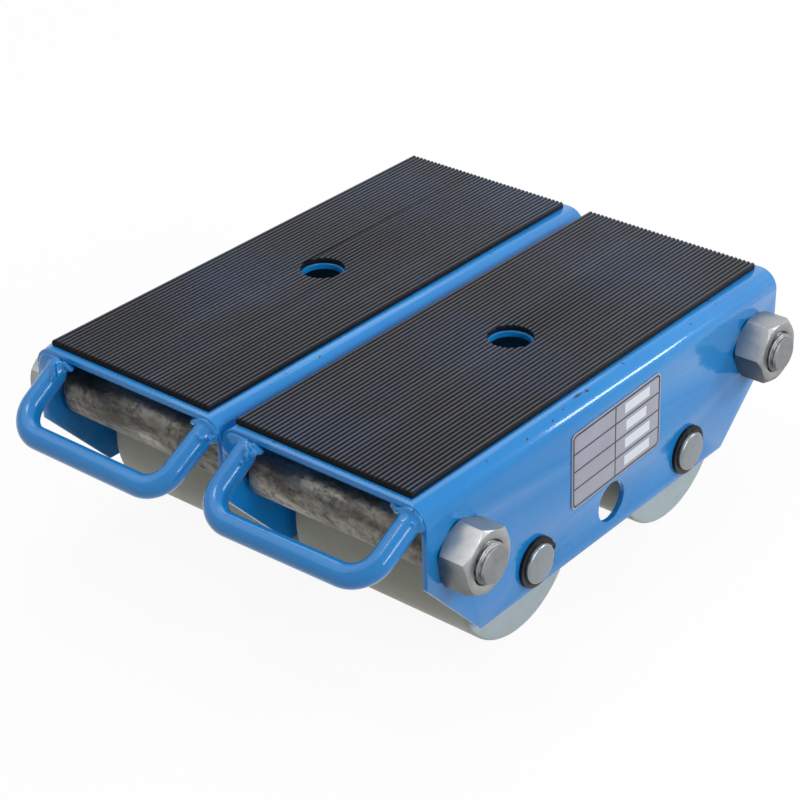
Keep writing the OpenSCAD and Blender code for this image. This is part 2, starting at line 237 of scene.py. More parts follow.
# %% Add any shader node with one method


class NodeTree:
    """The nodes of one material, or of the world."""

    def __init__(self, tree):
        self.tree = tree

    def node(self, kind, settings=None, sockets=None, output=0):
        node = self.tree.nodes.new("ShaderNode" + kind)
        for name, value in (settings or {}).items():
            setattr(node, name, value)
        for name, value in (sockets or {}).items():
            plug(value, node.inputs[name])
        return Wire(node.outputs[output])


print("nodes are added by", NodeTree.node.__qualname__)

# %% [markdown]
# A Finish is one material with its shader. Textures use object coordinates in metres, and
# every CAD node sits at the origin, so one pattern flows over neighbouring pieces and turns
# with a roller.

# %% Build materials from nodes


class Finish(NodeTree):
    """A material under construction, with helpers for the marks on its surface."""

    def __init__(self, name):
        self.material = bpy.data.materials.new(name)
        self.material.use_nodes = True
        super().__init__(self.material.node_tree)
        self.shader = self.tree.nodes["Principled BSDF"]
        self.place = self.node("TexCoord", output="Object")

    def stretched(self, x, y, z):
        """The object coordinates, scaled along each axis."""
        sockets = {0: self.place, 1: (x, y, z)}
        return self.node("VectorMath", {"operation": "MULTIPLY"}, sockets)

    def noise(self, scale, detail, roughness=0.55, at=None):
        """Noise with its features about 1 / scale metres across."""
        sockets = {"Scale": scale, "Detail": detail, "Roughness": roughness}
        return self.node("TexNoise", None, {"Vector": at or self.place, **sockets})

    def mix(self, amount, first, second):
        """Mix two colours; the numbers pick the colour sockets of the Mix node."""
        sockets = {0: amount, 6: first, 7: second}
        return self.node("Mix", {"data_type": "RGBA"}, sockets, output=2)

    def along(self, axis):
        """How far a point lies along the object's X, Y or Z axis, in metres."""
        return self.node("SeparateXYZ", None, {0: self.place}, output=axis)

    def facing(self, axis):
        """How much the surface faces along one axis of the object, from -1 to 1."""
        normal = self.node("TexCoord", output="Normal")
        return self.node("SeparateXYZ", None, {0: normal}, output=axis)

    def bump(self, height, depth, under=None):
        """Raise the surface by height times depth, in metres."""
        sockets = {"Height": height, "Distance": depth, "Strength": 1.0}
        if under:
            sockets["Normal"] = under
        return self.node("Bump", None, sockets)

    def surface(self, **sockets):
        """Set the shader's own sockets, named with _ for a space, and give the material."""
        for name, value in sockets.items():
            plug(value, self.shader.inputs[name.replace("_", " ")])
        return self.material


print("a Finish has", [name for name in vars(Finish) if not name.startswith("_")])

# %% [markdown]
# ## Blue enamel
# The frames and handles are sprayed with thick glossy enamel. It lies smooth on flat plate,
# with the faint pull of orange peel. Handling wears it: hair scratches, a few dark chips
# where the steel shows through, and a bloom of grey dust low down. Inside the channels, where
# shade falls, the blue is a painted shade tone of its own, brighter and more saturated, and
# the paint there is rougher and has no gloss.

# %% Find the inside of the channels
PLATE_SKIN = 2.2 * MM
DECK_SKIN = 2.5 * MM
FOLD_SKIN = 7.5 * MM
FRONT_SKIN = 0.5 * MM


def inside_channels(f):
    """1 on the hidden faces of the two channels, 0 on what shows from outside."""
    from_side = outer_face / 2 - abs(abs(f.along("X")) - outer_face / 2)
    from_top = deck_height - f.along("Z")
    hidden = from_side.above(PLATE_SKIN) * from_top.above(DECK_SKIN)
    hidden = hidden * (from_side + from_top).above(FOLD_SKIN)
    return hidden * f.along("Y").above(front_face + FRONT_SKIN)


print(f"the inside starts {PLATE_SKIN / MM} mm behind the outer face")

# %% [markdown]
# Two kinds of mark need a shape of their own. Beads of weld spatter were painted over, and a
# pattern of random cells, most of them left empty, scatters them. The two bare knocks on the
# right frame's folded edge are ragged lozenges, each listed with its own place.

# %% Shape the beads and the knocks
BEADS_PER_METRE = 55
BEAD_RADIUS = 0.7 * MM
BEAD_SHARE = 0.30
# Where each knock lies in X and Y, its length and its width.
KNOCKS = (
    (111.2 * MM, -5.2 * MM, 8.0 * MM, 1.8 * MM),
    (111.8 * MM, 1.4 * MM, 3.4 * MM, 2.0 * MM),
)


def painted_beads(f):
    """Small round bumps, one in some of the cells of a random pattern."""
    sockets = {"Vector": f.place, "Scale": BEADS_PER_METRE, "Randomness": 1.0}
    distance = f.node("TexVoronoi", None, sockets, "Distance")
    cell = f.node("SeparateColor", None, {0: f.node("TexVoronoi", None, sockets, "Color")})
    dome = (1 - distance / (BEAD_RADIUS * BEADS_PER_METRE)).clamped()
    return dome * cell.above(1 - BEAD_SHARE)


def knock(f, at_x, at_y, length, width):
    """A ragged lozenge that lies along Y."""
    across = abs(f.along("X") - at_x) / (width / 2)
    reach = abs(f.along("Y") - at_y) / (length / 2) + across
    return (reach + f.noise(900, 3) * 0.9).below(1.4)


print(len(KNOCKS), "knocks, and beads", 2 * BEAD_RADIUS / MM, "mm across")

# %% [markdown]
# The paint itself is built up in layers, as it was on the shop floor: the colour, with its
# painted shade tone inside the channels, then dust, then scratches that show paler, then chips
# that go down to the steel. The gloss is a clear coat over a dull base, and it is lost
# wherever the paint is chipped and inside the channels.

# %% Mix the blue enamel
BLUE = (0.010, 0.245, 0.640)
BLUE_DEEP = (0.007, 0.212, 0.590)
BLUE_SHADE_TONE = (0.004, 0.300, 0.860)
DUST = (0.30, 0.32, 0.34)
PALE_SCRATCH = (0.20, 0.42, 0.74)
STEEL_CHIP = (0.060, 0.045, 0.028)
DUST_LOW, DUST_HIGH = 20 * MM, 120 * MM
DECK_EDGE, EDGE_REACH = deck_height - 0.8 * MM, 2.2 * MM
COAT = 0.55


def hair_scratches(f):
    sockets = {"Vector": f.stretched(1, 0.15, 1), "Scale": 160.0}
    sockets |= {"Distortion": 40.0, "Detail": 3.0}
    lines = f.node("TexWave", {"bands_direction": "DIAGONAL"}, sockets, "Fac")
    return lines.step(0.985, 1.0) * f.noise(30, 2).step(0.52, 0.7)


def paint_chips(f):
    """Specks of bare steel, most of them near the deck's edge, and the two knocks."""
    near_deck = 1 - (abs(f.along("Z") - DECK_EDGE) / EDGE_REACH).clamped()
    chips = (f.noise(260, 3, 0.5) + near_deck * 0.09).step(0.765, 0.785)
    for place in KNOCKS:
        chips = chips + knock(f, *place) * 0.9
    return chips.clamped()


def blue_enamel():
    f = Finish("blue enamel")
    shaded_inside, chips = inside_channels(f), paint_chips(f)
    low_down = 1 - f.along("Z").step(DUST_LOW, DUST_HIGH)
    dust = f.noise(55, 6, 0.7).step(0.52, 0.85) * low_down * 0.22
    colour = f.mix(f.noise(9, 3).step(0.35, 0.65), BLUE, BLUE_DEEP)
    # Inside the channels the blue is a painted shade tone, brighter and more saturated.
    colour = f.mix(shaded_inside, colour, BLUE_SHADE_TONE)
    colour = f.mix(dust, colour, DUST)
    colour = f.mix(hair_scratches(f) * 0.2, colour, PALE_SCRATCH)
    colour = f.mix(chips, colour, STEEL_CHIP)
    orange_peel = f.bump(f.noise(380, 2, 0.5), 0.07 * MM)
    relief = f.bump(painted_beads(f), 0.5 * MM, orange_peel)
    smears = f.noise(24, 4).step(0.4, 0.8)
    return f.surface(
        Base_Color=colour,
        Roughness=0.22 + dust * 0.8 + smears * 0.08 + shaded_inside * 0.4,
        Specular_IOR_Level=0.16,
        Coat_Weight=(COAT - chips * COAT - shaded_inside * COAT).clamped(),
        Coat_Roughness=0.06,
        Normal=f.bump(1 - chips, 0.1 * MM, relief),
    )


BLUE_ENAMEL = blue_enamel()
print("made", BLUE_ENAMEL.name)

# %% [markdown]
# ## Ribbed rubber
# The pads are black rubber matting with a painted blue sheen in broad patches, a painted
# reflection. Loads have left streaks along the ribs and scuffs across them, with pale specks
# of dust over all, and the crests of the ribs are painted paler, a painted highlight. The cut
# front edge stays dark and dull.

# %% Mix the rubber
RUBBER_BLACK = (0.0040, 0.0032, 0.0034)
RUBBER_SHEEN = (0.0042, 0.0070, 0.0200)
STREAK = (0.018, 0.020, 0.028)
SCUFF = (0.040, 0.046, 0.064)
SPECK = (0.09, 0.09, 0.10)
CREST_HIGHLIGHT = (0.086, 0.084, 0.094)
CREST_HIGHLIGHT_SHEEN = (0.078, 0.102, 0.176)
CUT_EDGE = (0.0050, 0.0036, 0.0030)
CREST_START, CREST_FULL = cad_high.z - 0.09 * MM, cad_high.z - 0.02 * MM
PAD_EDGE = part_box("pad_right")[0].y + 1.2 * MM


def rubber():
    f = Finish("ribbed rubber")
    blue_sheen = f.noise(11, 5, 0.6).step(0.42, 0.70)
    streaks = f.noise(90, 5, 0.65, f.stretched(1, 0.06, 1)).step(0.52, 0.8)
    scuffs = f.noise(70, 6, 0.75, f.stretched(0.25, 1, 1)).step(0.60, 0.72)
    specks = f.noise(700, 3, 0.7).step(0.66, 0.76)
    crest = f.along("Z").step(CREST_START, CREST_FULL)
    edge = f.along("Y").below(PAD_EDGE)
    # The blue patches are a painted sheen, standing in for a reflection.
    colour = f.mix(blue_sheen, RUBBER_BLACK, RUBBER_SHEEN)
    colour = f.mix(streaks * 0.22, colour, STREAK)
    colour = f.mix(scuffs * 0.30, colour, SCUFF)
    colour = f.mix(specks * 0.30, colour, SPECK)
    # The paler crests of the ribs are a painted highlight.
    crest_highlight_colour = f.mix(blue_sheen, CREST_HIGHLIGHT, CREST_HIGHLIGHT_SHEEN)
    colour = f.mix(crest * (0.55 + streaks * 0.45), colour, crest_highlight_colour)
    return f.surface(
        Base_Color=f.mix(edge, colour, CUT_EDGE),
        Roughness=0.50 - crest * 0.18 + (1 - blue_sheen) * 0.10 + edge * 0.2,
        Specular_IOR_Level=0.20,
        Specular_Tint=(0.78, 0.88, 1.0, 1.0),
        Normal=f.bump(f.noise(900, 3, 0.6), 0.07 * MM),
    )


RUBBER = rubber()
print("made", RUBBER.name)

# %% [markdown]
# ## Zinc plate
# The nuts and the rods are zinc plated and soft to the eye: a cloudy grey with stains, and
# darker on faces that point down, a painted shade. Spanners have rubbed the nuts' edges
# bright, and their brighter colour also stands in for the highlight along them, a painted
# highlight. One function makes all three from a dull colour, a bright one and the depth of
# the clouding.

# %% Plate with zinc
STAIN = (0.235, 0.215, 0.185)
DOWNWARD_SHADE = (0.070, 0.072, 0.075)


def zinc(name, dull, bright, depth):
    f = Finish(name)
    cloud = f.noise(120, 5, 0.6)
    stain = f.noise(60, 6, 0.7).step(0.52, 0.74)
    # Faces that point down are darkened: painted shade.
    facing_down_shade = (0.05 - f.facing("Z")).step(0.0, 0.25)
    colour = f.mix(cloud.step(0.35, 0.7), dull, bright)
    colour = f.mix(stain * 0.5, colour, STAIN)
    return f.surface(
        Base_Color=f.mix(facing_down_shade * 0.7, colour, DOWNWARD_SHADE),
        Metallic=0.82,
        Roughness=0.30 + cloud * 0.14 + stain * 0.12,
        Normal=f.bump(f.noise(1500, 2, 0.6), 0.02 * MM, f.bump(cloud, depth)),
    )


ZINC = zinc("zinc plate", (0.300, 0.308, 0.316), (0.425, 0.430, 0.430), 0.08 * MM)
# The bright edges are partly rubbed zinc and partly a painted highlight.
RUBBED_AND_HIGHLIT_ZINC = zinc(
    "rubbed zinc edge with painted highlight", (0.660, 0.665, 0.665), (0.800, 0.800, 0.795), 0.02 * MM
)
ROD_ZINC = zinc("dull zinc rod", (0.225, 0.236, 0.250), (0.315, 0.325, 0.335), 0.04 * MM)
print("made", ", ".join(metal.name for metal in (ZINC, RUBBED_AND_HIGHLIT_ZINC, ROD_ZINC)))

# %% [markdown]
# ## Turned and ground steel
# A lathe leaves fine rings that catch the light on the axle ends, and the bearings are
# ground finer still. Rings round an axis along X do not vary along X, so the noise that
# draws them is stretched out in that direction.

# %% Turn and grind the bright steels
TURNED_DARK, TURNED_LIGHT = (0.225, 0.252, 0.278), (0.300, 0.325, 0.345)
HANDLED = (0.17, 0.17, 0.16)
GROUND_DARK, GROUND_LIGHT = (0.62, 0.62, 0.62), (0.72, 0.72, 0.71)


def turned_rings(f, pitch):
    return f.noise(1 / pitch, 2, 0.5, f.stretched(0.05, 1, 1))


def turned_steel():
    f = Finish("turned steel")
    rings = turned_rings(f, 0.6 * MM)
    cloud = f.noise(90, 4)
    colour = f.mix(rings, TURNED_DARK, TURNED_LIGHT)
    return f.surface(
        Base_Color=f.mix(cloud.step(0.55, 0.75) * 0.4, colour, HANDLED),
        Metallic=0.9,
        Roughness=0.20 + cloud * 0.16,
        Normal=f.bump(rings, 0.06 * MM),
    )


def ground_steel():
    f = Finish("ground bearing steel")
    rings = turned_rings(f, 0.3 * MM)
    return f.surface(
        Base_Color=f.mix(rings, GROUND_DARK, GROUND_LIGHT),
        Metallic=1.0,
        Roughness=0.14 + rings * 0.08,
        Normal=f.bump(rings, 0.02 * MM),
    )


TURNED, GROUND = turned_steel(), ground_steel()
print("made", TURNED.name, "and", GROUND.name)

# %% [markdown]
# ## Blackened clips
# The retaining rings are spring steel, blackened in a hot salt bath. The black is thin, so
# the grey steel shows through where fingers and pliers have worn it.

# %% Blacken the clips
OXIDE = (0.0060, 0.0055, 0.0060)
WORN_OXIDE = (0.07, 0.065, 0.06)


def black_oxide():
    f = Finish("black oxide")
    worn = f.noise(260, 4, 0.6).step(0.6, 0.75)
    return f.surface(
        Base_Color=f.mix(worn * 0.4, OXIDE, WORN_OXIDE),
        Metallic=0.6,
        Roughness=0.42 + worn * 0.1,
        Normal=f.bump(worn, 0.03 * MM),
    )


BLACK_STEEL = black_oxide()
print("made", BLACK_STEEL.name)

# %% [markdown]
# ## Weathered galvanising
# The spacer pipes are galvanised and have weathered to a grey-brown mottle. Five masks make
# it: the mottle, patches rubbed bright, grime, a little rust, and painted shade on the
# underside that faces the rollers. Where the pipe is rubbed it is smoother and more metallic,
# and where it is grimy or underneath it is rougher and duller.

# %% Weather the pipes
PIPE_MIDDLE = middle("pipe_front_right").z
SHADE_LOW, SHADE_HIGH = PIPE_MIDDLE - 12.5 * MM, PIPE_MIDDLE - 3.5 * MM
PIPE_DARK, PIPE_LIGHT = (0.066, 0.060, 0.046), (0.235, 0.222, 0.190)
RUBBED_PATCH = (0.47, 0.46, 0.42)
GRIME = (0.032, 0.027, 0.020)
RUST = (0.14, 0.070, 0.030)
UNDERSIDE_SHADE = (0.045, 0.042, 0.036)


def galvanised():
    f = Finish("weathered galvanising")
    spangle = f.node("TexVoronoi", None, {"Vector": f.place, "Scale": 260.0}, "Distance")
    mottle = f.noise(75, 7, 0.72, f.stretched(0.45, 1, 1))
    rubbed = f.noise(48, 5, 0.65, f.stretched(0.22, 1, 1)).step(0.50, 0.66)
    grime = f.noise(190, 6, 0.75).step(0.50, 0.66)
    rust = f.noise(120, 5, 0.7).step(0.60, 0.70)
    # Below the pipe's middle the colour darkens: painted shade.
    under = 1 - f.along("Z").step(SHADE_LOW, SHADE_HIGH)
    colour = f.mix(mottle.step(0.41, 0.61), PIPE_DARK, PIPE_LIGHT)
    colour = f.mix(rubbed * 0.85, colour, RUBBED_PATCH)
    colour = f.mix(grime * 0.8, colour, GRIME)
    colour = f.mix(rust * 0.5, colour, RUST)
    return f.surface(
        Base_Color=f.mix(under * 0.75, colour, UNDERSIDE_SHADE),
        Metallic=0.72 + rubbed * 0.2 - grime * 0.3 - under * 0.5,
        Roughness=0.34 - rubbed * 0.10 + grime * 0.24 + under * 0.3,
        Normal=f.bump(mottle + spangle * 0.4, 0.4 * MM),
    )


GALVANISED = galvanised()
print("made", GALVANISED.name)

# %% [markdown]
# ## Cast nylon
# The rollers are cast nylon: pale, waxy and slightly see-through at the edge, so a little
# light is let in under the surface. The tread is painted a darker olive, a painted shade,
# which the shader lays where the surface does not face along the axle.

# %% Mix the nylon
NYLON_PALE, NYLON_COOL = (0.425, 0.500, 0.530), (0.385, 0.455, 0.490)
HAND_FILM = (0.30, 0.330, 0.325)
TREAD_SHADE = (0.355, 0.350, 0.266)


def cast_nylon():
    f = Finish("cast nylon")
    cloud = f.noise(28, 5, 0.6)
    film = f.noise(45, 6, 0.7, f.stretched(0.5, 1, 1)).step(0.42, 0.75)
    cutter_lines = f.noise(900, 2, 0.5, f.stretched(1, 0.02, 0.02))
    # The tread is darkened to olive: painted shade.
    tread = 1 - abs(f.facing("X")).step(0.45, 0.75)
    colour = f.mix(cloud.step(0.3, 0.7), NYLON_PALE, NYLON_COOL)
    colour = f.mix(film * 0.25, colour, HAND_FILM)
    f.shader.subsurface_method = "RANDOM_WALK"
    return f.surface(
        Base_Color=f.mix(tread * (0.80 + film * 0.15), colour, TREAD_SHADE),
        Roughness=0.36 + film * 0.18,
        Specular_IOR_Level=0.35,
        Subsurface_Weight=0.2,
        Subsurface_Radius=(4.0 * MM, 3.5 * MM, 2.5 * MM),
        Subsurface_Scale=1.0,
        Normal=f.bump(cutter_lines, 0.05 * MM, f.bump(cloud, 0.2 * MM)),
    )


NYLON = cast_nylon()
print("made", NYLON.name)

# %% [markdown]
# ## Seal rubber
# The bearings are closed by rings of moulded black rubber. They sit deep in the rollers and
# only a sliver shows, so a fine grain is enough.

# %% Mix the seal rubber
SEAL_DARK, SEAL_LIGHT = (0.014, 0.014, 0.015), (0.024, 0.024, 0.026)


def seal_rubber():
    f = Finish("seal rubber")
    grain = f.noise(1200, 2)
    return f.surface(
        Base_Color=f.mix(grain, SEAL_DARK, SEAL_LIGHT),
        Roughness=0.5 + grain * 0.1,
        Normal=f.bump(grain, 0.03 * MM),
    )


SEAL = seal_rubber()
print("made", SEAL.name)

# %% [markdown]
# ## The rating plate's print
# The plate is printed foil with a ruled table on it. A picture could carry the print, but
# comparisons on the plate's own Y and Z stay sharp at any size. A point is inked where it is
# close enough to a line, and every field stays blank. The plate was stuck on a little off
# level, so Y and Z are turned first.

# %% Lay out the table
plate_low, plate_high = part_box("rating_plate")
PLATE_MARGIN = 1.3 * MM
PLATE_LINE = 0.90 * MM
PLATE_BORDER = 1.10 * MM
PLATE_CORNER = 2.2 * MM
PLATE_TILT = math.radians(1.7)
PLATE_ROWS = 4
DIVIDER = -1.4 * MM
FIELD_STARTS = (6.2 * MM, 7.4 * MM, 6.6 * MM, 6.2 * MM)
FIELD_ENDS = (26.5 * MM, 24 * MM, 27 * MM, 27 * MM)
FIELD_HEIGHT = 5.3 * MM
half_long = (plate_high.y - plate_low.y) / 2 - PLATE_MARGIN
half_tall = (plate_high.z - plate_low.z) / 2 - PLATE_MARGIN
row_height = 2 * half_tall / PLATE_ROWS


def table_ink(y, z):
    """1 on the rounded border, the divider and the lines between rows."""
    past_y = (abs(y) - (half_long - PLATE_CORNER)).at_least(0.0)
    past_z = (abs(z) - (half_tall - PLATE_CORNER)).at_least(0.0)
    from_core = (past_y ** 2.0 + past_z ** 2.0) ** 0.5
    core = from_core.below(PLATE_CORNER)
    ink = abs(from_core - PLATE_CORNER).below(PLATE_BORDER / 2)
    ink = ink + abs(y - DIVIDER).below(PLATE_LINE / 2) * core
    for row in range(1, PLATE_ROWS):
        line_z = half_tall - row * row_height
        ink = ink + abs(z - line_z).below(PLATE_LINE / 2) * core
    return ink.clamped()


def blank_fields(y, z):
    """1 on the white patch of each row."""
    fields = 0.0
    for row, (start, stop) in enumerate(zip(FIELD_STARTS, FIELD_ENDS)):
        centre = half_tall - (row + 0.5) * row_height
        across = abs(y - (start + stop) / 2).below((stop - start) / 2)
        fields = across * abs(z - centre).below(FIELD_HEIGHT / 2) + fields
    return fields.clamped()


print(PLATE_ROWS, "blank rows,", round(row_height / MM, 1), "mm high")

# %% Print the foil
FOIL_DARK, FOIL_LIGHT = (0.335, 0.340, 0.420), (0.385, 0.390, 0.470)
FIELD_WHITE = (0.72, 0.74, 0.80)
INK = (0.012, 0.010, 0.014)


def printed_foil():
    f = Finish("printed foil")
    along = f.along("Y") - middle("rating_plate").y
    above = f.along("Z") - middle("rating_plate").z
    y = along * math.cos(PLATE_TILT) + above * math.sin(PLATE_TILT)
    z = above * math.cos(PLATE_TILT) - along * math.sin(PLATE_TILT)
    ink, fields = table_ink(y, z), blank_fields(y, z)
    haze = f.noise(60, 5, 0.6)
    colour = f.mix(haze.step(0.3, 0.7), FOIL_DARK, FOIL_LIGHT)
    colour = f.mix(fields, colour, FIELD_WHITE)
    return f.surface(
        Base_Color=f.mix(ink * 0.96, colour, INK),
        Metallic=(0.35 - fields * 0.35 - ink * 0.35).clamped(),
        Roughness=0.38 + haze * 0.12,
        Normal=f.bump(f.noise(300, 2), 0.02 * MM),
    )


FOIL = printed_foil()
print("made", FOIL.name)

# %% [markdown]
# ## Dressing the CAD nodes
# Most CAD shapes are right already. They only need their finish, so each material slot of
# the imported node is pointed at one of the new materials.

# %% Give every CAD node its finish
FINISHES = {
    "frame": BLUE_ENAMEL, "handle": BLUE_ENAMEL, "weld": BLUE_ENAMEL, "pad": RUBBER,
    "rating": FOIL, "axle": TURNED, "rod": ROD_ZINC, "nut": ZINC, "pipe": GALVANISED,
    "clip": BLACK_STEEL, "roller": NYLON, "seals": SEAL, "outer": GROUND, "inner": GROUND,
    "balls": GROUND, "cages": TURNED, "sleeve": TURNED, "washers": ZINC,
}
for name, node in nodes.items():
    finish = FINISHES[name.split("_")[0]]
    node.data.materials.clear()
    node.data.materials.append(finish)
print("dressed", len(nodes), "nodes")

# %% [markdown]
# ## Softened edges
# Nothing real has a perfectly sharp edge. Sheared plate, nuts and clips all have a small
# radius, and paint rounds it further. A bevel needs clean faces, so the triangles of each
# CAD copy are first dissolved back into whole faces. The copy then stands for its node. The
# rating plate was stuck on by hand, so its copy is turned a little, and its print with it.

# %% Put pieces in the scene
SAME_POINT = 0.002 * MM
SAME_FACE = math.radians(0.5)
SHARP_EDGE = math.radians(28)


def place_piece(piece, body, slot, *stands_for):
    """Ride on a body and stand for the CAD nodes it redraws. The slot is not used."""
    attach(piece, body)
    if stands_for:
        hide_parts(*stands_for)
    return piece


def link(name, data):
    """A new object in the scene for a mesh or a lamp."""
    piece = bpy.data.objects.new(name, data)
    bpy.context.scene.collection.objects.link(piece)
    return piece


def softened(node_name, slot, radius, segments=3, edge=None):
    """A copy of a CAD node with whole faces, and rounded edges with a finish of their own."""
    source = nodes[node_name]
    mesh = source.data.copy()
    cleaner = bmesh.new()
    cleaner.from_mesh(mesh)
    bmesh.ops.remove_doubles(cleaner, verts=cleaner.verts, dist=SAME_POINT)
    bmesh.ops.dissolve_limit(
        cleaner, angle_limit=SAME_FACE, verts=cleaner.verts, edges=cleaner.edges
    )
    cleaner.to_mesh(mesh)
    cleaner.free()
    mesh.shade_smooth()
    piece = link(f"{node_name}_soft", mesh)
    bevel = piece.modifiers.new("round", "BEVEL")
    bevel.width = radius
    bevel.segments = segments
    bevel.limit_method = "ANGLE"
    bevel.angle_limit = SHARP_EDGE
    bevel.harden_normals = True
    bevel.miter_outer = "MITER_ARC"
    if edge:
        mesh.materials.append(edge)
        bevel.material = 1
    return place_piece(piece, source["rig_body"], slot, node_name)


print("edges sharper than", round(math.degrees(SHARP_EDGE)), "degrees are rounded")

# %% Round the frames, pads, rating plate, nuts and clips
for side in SIDES:
    softened(f"frame_{side}", "blue_paint", 0.6 * MM)
    softened(f"pad_{side}", "ribbed_rubber", 0.42 * MM)
plate = softened("rating_plate", "plate_foil", 0.12 * MM, 2)
to_plate = Matrix.Translation(middle("rating_plate"))
tilt = Matrix.Rotation(PLATE_TILT, 4, "X")
plate.data.transform(to_plate @ tilt @ to_plate.inverted())
for corner in CORNERS:
    softened(f"nut_{corner}", "zinc_steel", 0.45 * MM, edge=RUBBED_AND_HIGHLIT_ZINC)
    softened(f"clip_{corner}", "black_steel", 0.25 * MM, 2)

# %% [markdown]
# ## Turned parts
# Rollers, axles and pipes come off a lathe or out of a mill, so each is an outline spun round
# the X axis. A finer spin than the CAD mesh keeps the highlights unbroken, and arcs replace
# the plain chamfers.

# %% Spin an outline round an axis along X
LUMPS_PER_METRE = 90
LUMPS_ROUND = 3


def out_of_round(x, turn):
    """A slow random swell, from about -1 to 1, that meets itself after a full turn."""
    around = Vector((math.cos(turn), math.sin(turn))) * LUMPS_ROUND
    return noise.noise(Vector((x * LUMPS_PER_METRE, *around)))


def arc(x, r, radius, start, stop, steps=6):
    """Points of a quarter-round or so, in degrees, in the outline's (x, radius) plane."""
    angles = [math.radians(start + (stop - start) * i / steps) for i in range(steps + 1)]
    return [(x + radius * math.cos(a), r + radius * math.sin(a)) for a in angles]


def spun(name, outline, centre, finish, steps, wobble=0.0):
    """Spin a closed outline; a point on the axis becomes a single vertex."""
    points, faces = [], []
    count = len(outline)
    for i in range(steps):
        turn = TAU * i / steps
        for x, r in outline:
            if wobble:
                r += wobble * out_of_round(x, turn)
            points.append((
                centre.x + x, centre.y + r * math.cos(turn), centre.z + r * math.sin(turn)
            ))
    for i in range(steps):
        here, there = i * count, (i + 1) % steps * count
        for j in range(count):
            k = (j + 1) % count
            faces.append((here + j, here + k, there + k, there + j))
    mesh = bpy.data.meshes.new(name)
    mesh.from_pydata(points, [], faces)
    cleaner = bmesh.new()
    cleaner.from_mesh(mesh)
    bmesh.ops.remove_doubles(cleaner, verts=cleaner.verts, dist=1e-7)
    bmesh.ops.dissolve_degenerate(cleaner, dist=1e-8, edges=cleaner.edges)
    bmesh.ops.recalc_face_normals(cleaner, faces=cleaner.faces)
    cleaner.to_mesh(mesh)
    cleaner.free()
    mesh.shade_smooth()
    mesh.set_sharp_from_angle(angle=math.radians(35))
    mesh.materials.append(finish)
    return link(name, mesh)


def span(node):
    """Half the length along X, and half the height, of a CAD node."""
    low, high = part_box(node)
    return (high.x - low.x) / 2, (high.z - low.z) / 2


print("a quarter round in three points:")
for point in arc(0, 0, 1, 0, 90, 2):
    print("   ", [round(value, 2) for value in point])

# %% [markdown]
# Each roller is a thick nylon tyre, turned in one piece with a bore through its middle and a
# wider seat for a bearing at each end. The face near the seat is dished by 0.8 mm, and the
# corners of the tread are rounded, which the photograph shows as a soft bright rim.

# %% Turn the rollers
ROLLER_ROUND = 1.5 * MM
SEAT_DEPTH = 14 * MM
SEAT_SLACK = 0.02 * MM
SHOULDER = 3.5 * MM
HUB_DISH = 0.8 * MM
HUB_START, HUB_END = 4 * MM, 5.5 * MM
TREAD_STEPS = 12


def roller_outline(half, radius, seat, shoulder):
    """From the left seat, out over the tread and back in at the right."""
    rim = half - ROLLER_ROUND
    crown = radius - ROLLER_ROUND
    dished = half - HUB_DISH
    left = [(-dished, seat), (-dished, seat + HUB_START), (-half, seat + HUB_END)]
    left += arc(-rim, crown, ROLLER_ROUND, 180, 90)
    tread = [
        (-rim + 2 * rim * i / TREAD_STEPS, radius) for i in range(1, TREAD_STEPS)
    ]
    outer = left + tread + [(-x, r) for x, r in reversed(left)]
    inner = half - SEAT_DEPTH
    return outer + [(inner, seat), (inner, shoulder), (-inner, shoulder), (-inner, seat)]


for corner in CORNERS:
    half, radius = span(f"roller_{corner}")
    seat = span(f"outer_rings_{corner}")[1] + SEAT_SLACK
    outline = roller_outline(half, radius, seat, seat - SHOULDER)
    piece = spun(f"tread_{corner}", outline, middle(f"roller_{corner}"), NYLON, 192)
    place_piece(piece, f"roller_{corner}", "nylon", f"roller_{corner}")
print("roller radius", round(radius / MM, 2), "mm, seat radius", round(seat / MM, 2), "mm")

# %% [markdown]
# An axle is a plain turned bar with a groove near each end. The clip snaps into the groove
# and keeps the axle from sliding out. The real ends have a generous round.

# %% Turn the axles
AXLE_ROUND = 1.6 * MM
CLIP_SLOT = 1.85 * MM
CLIP_GROOVE = 0.75 * MM


def axle_outline(half, radius, face):
    """One half of the axle, from its end face inwards, with the clip's groove."""
    end = [(half, 0), (half, radius - AXLE_ROUND)]
    end += arc(half - AXLE_ROUND, radius - AXLE_ROUND, AXLE_ROUND, 0, 90)
    floor = radius - CLIP_GROOVE
    lip = face + CLIP_SLOT
    right_half = end + [(lip, radius), (lip, floor), (face, floor), (face, radius)]
    return right_half + [(-x, r) for x, r in reversed(right_half)]


for end in ENDS:
    half, radius = span(f"axle_{end}")
    centre = middle(f"axle_{end}")
    outline = axle_outline(half, radius, outer_face - centre.x)
    piece = spun(f"shaft_{end}", outline, centre, TURNED, 96)
    place_piece(piece, "chassis", "bright_steel", f"axle_{end}")
print("axle radius", round(radius / MM, 2), "mm")

# %% [markdown]
# The spacer pipes are welded gas pipe, cut with a saw. They are never quite round, so the
# outline gets a slow wobble of a tenth of a millimetre before the mottled zinc goes on.

# %% Cut the spacer pipes
PIPE_BORE = 10.5 * MM
PIPE_ROUND = 0.6 * MM
PIPE_STEPS = 48
PIPE_WOBBLE = 0.12 * MM


def pipe_outline(half, radius):
    """From the bore at the left end, along the outside, to the bore at the right end."""
    rim = half - PIPE_ROUND
    left = arc(-rim, radius - PIPE_ROUND, PIPE_ROUND, 180, 90, 4)
    wall = [(-rim + 2 * rim * i / PIPE_STEPS, radius) for i in range(1, PIPE_STEPS)]
    outside = left + wall + [(-x, r) for x, r in reversed(left)]
    return [(-half, PIPE_BORE)] + outside + [(half, PIPE_BORE)]


